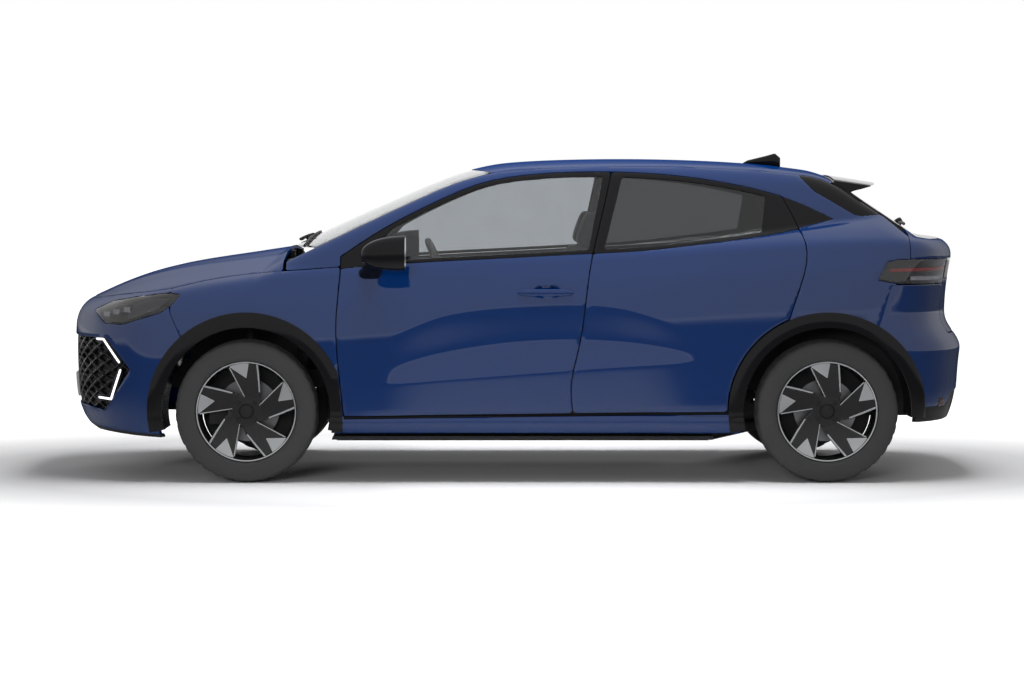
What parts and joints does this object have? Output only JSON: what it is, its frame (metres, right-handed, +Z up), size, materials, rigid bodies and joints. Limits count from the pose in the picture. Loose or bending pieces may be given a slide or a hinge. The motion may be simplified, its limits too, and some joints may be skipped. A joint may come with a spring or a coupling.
{
  "type": "five-door hatchback car",
  "caption": "Small five-door hatchback with opening doors, bonnet and tailgate, hollow cabin, steered front wheels and dark alloy rims.",
  "frame": {"origin": "on the ground under the middle of the car", "axes": "+X towards the tail, +Y to the car's right, +Z up"},
  "size_m": [4.1131, 2.06, 1.4779],
  "materials": {
    "body_paint": "metallic gloss",
    "black_gloss": "gloss",
    "black_matte": "satin",
    "tinted_glass": "polished",
    "dark_glass": "polished",
    "lamp": "polished",
    "tyre": "matte",
    "alloy": "gloss black with turned edges",
    "steel": "painted",
    "trim": "woven"
  },
  "bodies": {
    "body": {"floor_pan": "steel", "body_side_left": "body_paint", "body_side_right": "body_paint", "roof_panel": "body_paint", "front_fenders": "body_paint", "windscreen": "tinted_glass", "front_bumper": "body_paint", "front_grille": "black_gloss", "headlamps": "lamp", "rear_bumper": "body_paint", "tail_lamps": "lamp", "rear_corners": "body_paint", "wheel_arch_trims": "black_gloss", "wheel_liners": "black_matte", "engine_block": "steel", "front_subframe": "steel", "rear_axle": "steel", "exhaust": "steel", "dashboard": "black_matte", "front_seat_left": "trim", "front_seat_right": "trim", "rear_bench": "trim", "scuttle": "black_matte", "roof_fin": "black_gloss", "hinge_leaves": "steel"},
    "steering_wheel": {"steering_wheel": "black_matte"},
    "bonnet": {"bonnet": "body_paint"},
    "tailgate": {"tailgate": "body_paint", "tailgate_glass": "dark_glass", "spoiler": "black_gloss", "tailgate_lamps": "lamp"},
    "front_door_left": {"front_door_left": "body_paint", "front_door_glass_left": "tinted_glass", "mirror_left": "black_gloss"},
    "rear_door_left": {"rear_door_left": "body_paint", "rear_door_glass_left": "dark_glass"},
    "knuckle_left": {"knuckle_left": "steel"},
    "front_wheel_left": {"front_tyre_left": "tyre", "front_rim_left": "alloy"},
    "rear_wheel_left": {"rear_tyre_left": "tyre", "rear_rim_left": "alloy"},
    "front_door_right": {"front_door_right": "body_paint", "front_door_glass_right": "tinted_glass", "mirror_right": "black_gloss"},
    "rear_door_right": {"rear_door_right": "body_paint", "rear_door_glass_right": "dark_glass"},
    "knuckle_right": {"knuckle_right": "steel"},
    "front_wheel_right": {"front_tyre_right": "tyre", "front_rim_right": "alloy"},
    "rear_wheel_right": {"rear_tyre_right": "tyre", "rear_rim_right": "alloy"}
  },
  "joints": [
    {"name": "front_door_left_hinge", "type": "hinge", "parent": "body", "child": "front_door_left", "pos_m": [-0.801, -0.874, 0.6], "axis": [0, 0, -1], "range_deg": [0, 68]},
    {"name": "rear_door_left_hinge", "type": "hinge", "parent": "body", "child": "rear_door_left", "pos_m": [0.246, -0.882, 0.6], "axis": [0, 0, -1], "range_deg": [0, 68]},
    {"name": "steer_left", "type": "hinge", "parent": "body", "child": "knuckle_left", "pos_m": [-1.205, -0.69, 0.19], "axis": [0, 0.1826, 0.9832], "range_deg": [-35, 35]},
    {"name": "front_wheel_left_spin", "type": "hinge", "parent": "knuckle_left", "child": "front_wheel_left", "pos_m": [-1.205, -0.7615, 0.3185], "axis": [0, 1, 0], "continuous": true},
    {"name": "rear_wheel_left_spin", "type": "hinge", "parent": "body", "child": "rear_wheel_left", "pos_m": [1.386, -0.7615, 0.3185], "axis": [0, 1, 0], "continuous": true},
    {"name": "front_door_right_hinge", "type": "hinge", "parent": "body", "child": "front_door_right", "pos_m": [-0.801, 0.874, 0.6], "axis": [0, 0, 1], "range_deg": [0, 68]},
    {"name": "rear_door_right_hinge", "type": "hinge", "parent": "body", "child": "rear_door_right", "pos_m": [0.246, 0.882, 0.6], "axis": [0, 0, 1], "range_deg": [0, 68]},
    {"name": "steer_right", "type": "hinge", "parent": "body", "child": "knuckle_right", "pos_m": [-1.205, 0.69, 0.19], "axis": [0, -0.1826, 0.9832], "range_deg": [-35, 35]},
    {"name": "front_wheel_right_spin", "type": "hinge", "parent": "knuckle_right", "child": "front_wheel_right", "pos_m": [-1.205, 0.7615, 0.3185], "axis": [0, 1, 0], "continuous": true},
    {"name": "rear_wheel_right_spin", "type": "hinge", "parent": "body", "child": "rear_wheel_right", "pos_m": [1.386, 0.7615, 0.3185], "axis": [0, 1, 0], "continuous": true},
    {"name": "steering_wheel_turn", "type": "hinge", "parent": "body", "child": "steering_wheel", "pos_m": [-0.33, -0.36, 0.905], "axis": [0.9063, 0, 0.4226], "range_deg": [-508, 508]},
    {"name": "bonnet_hinge", "type": "hinge", "parent": "body", "child": "bonnet", "pos_m": [-1.045, 0, 1.048], "axis": [0, 1, 0], "range_deg": [0, 58]},
    {"name": "tailgate_hinge", "type": "hinge", "parent": "body", "child": "tailgate", "pos_m": [1.4375, 0, 1.373], "axis": [0, -1, 0], "range_deg": [0, 78]}
  ],
  "couplings": [
    {"joint": "steer_right", "follows": "steer_left", "ratio": 1},
    {"joint": "steering_wheel_turn", "follows": "steer_left", "ratio": 14.5}
  ]
}
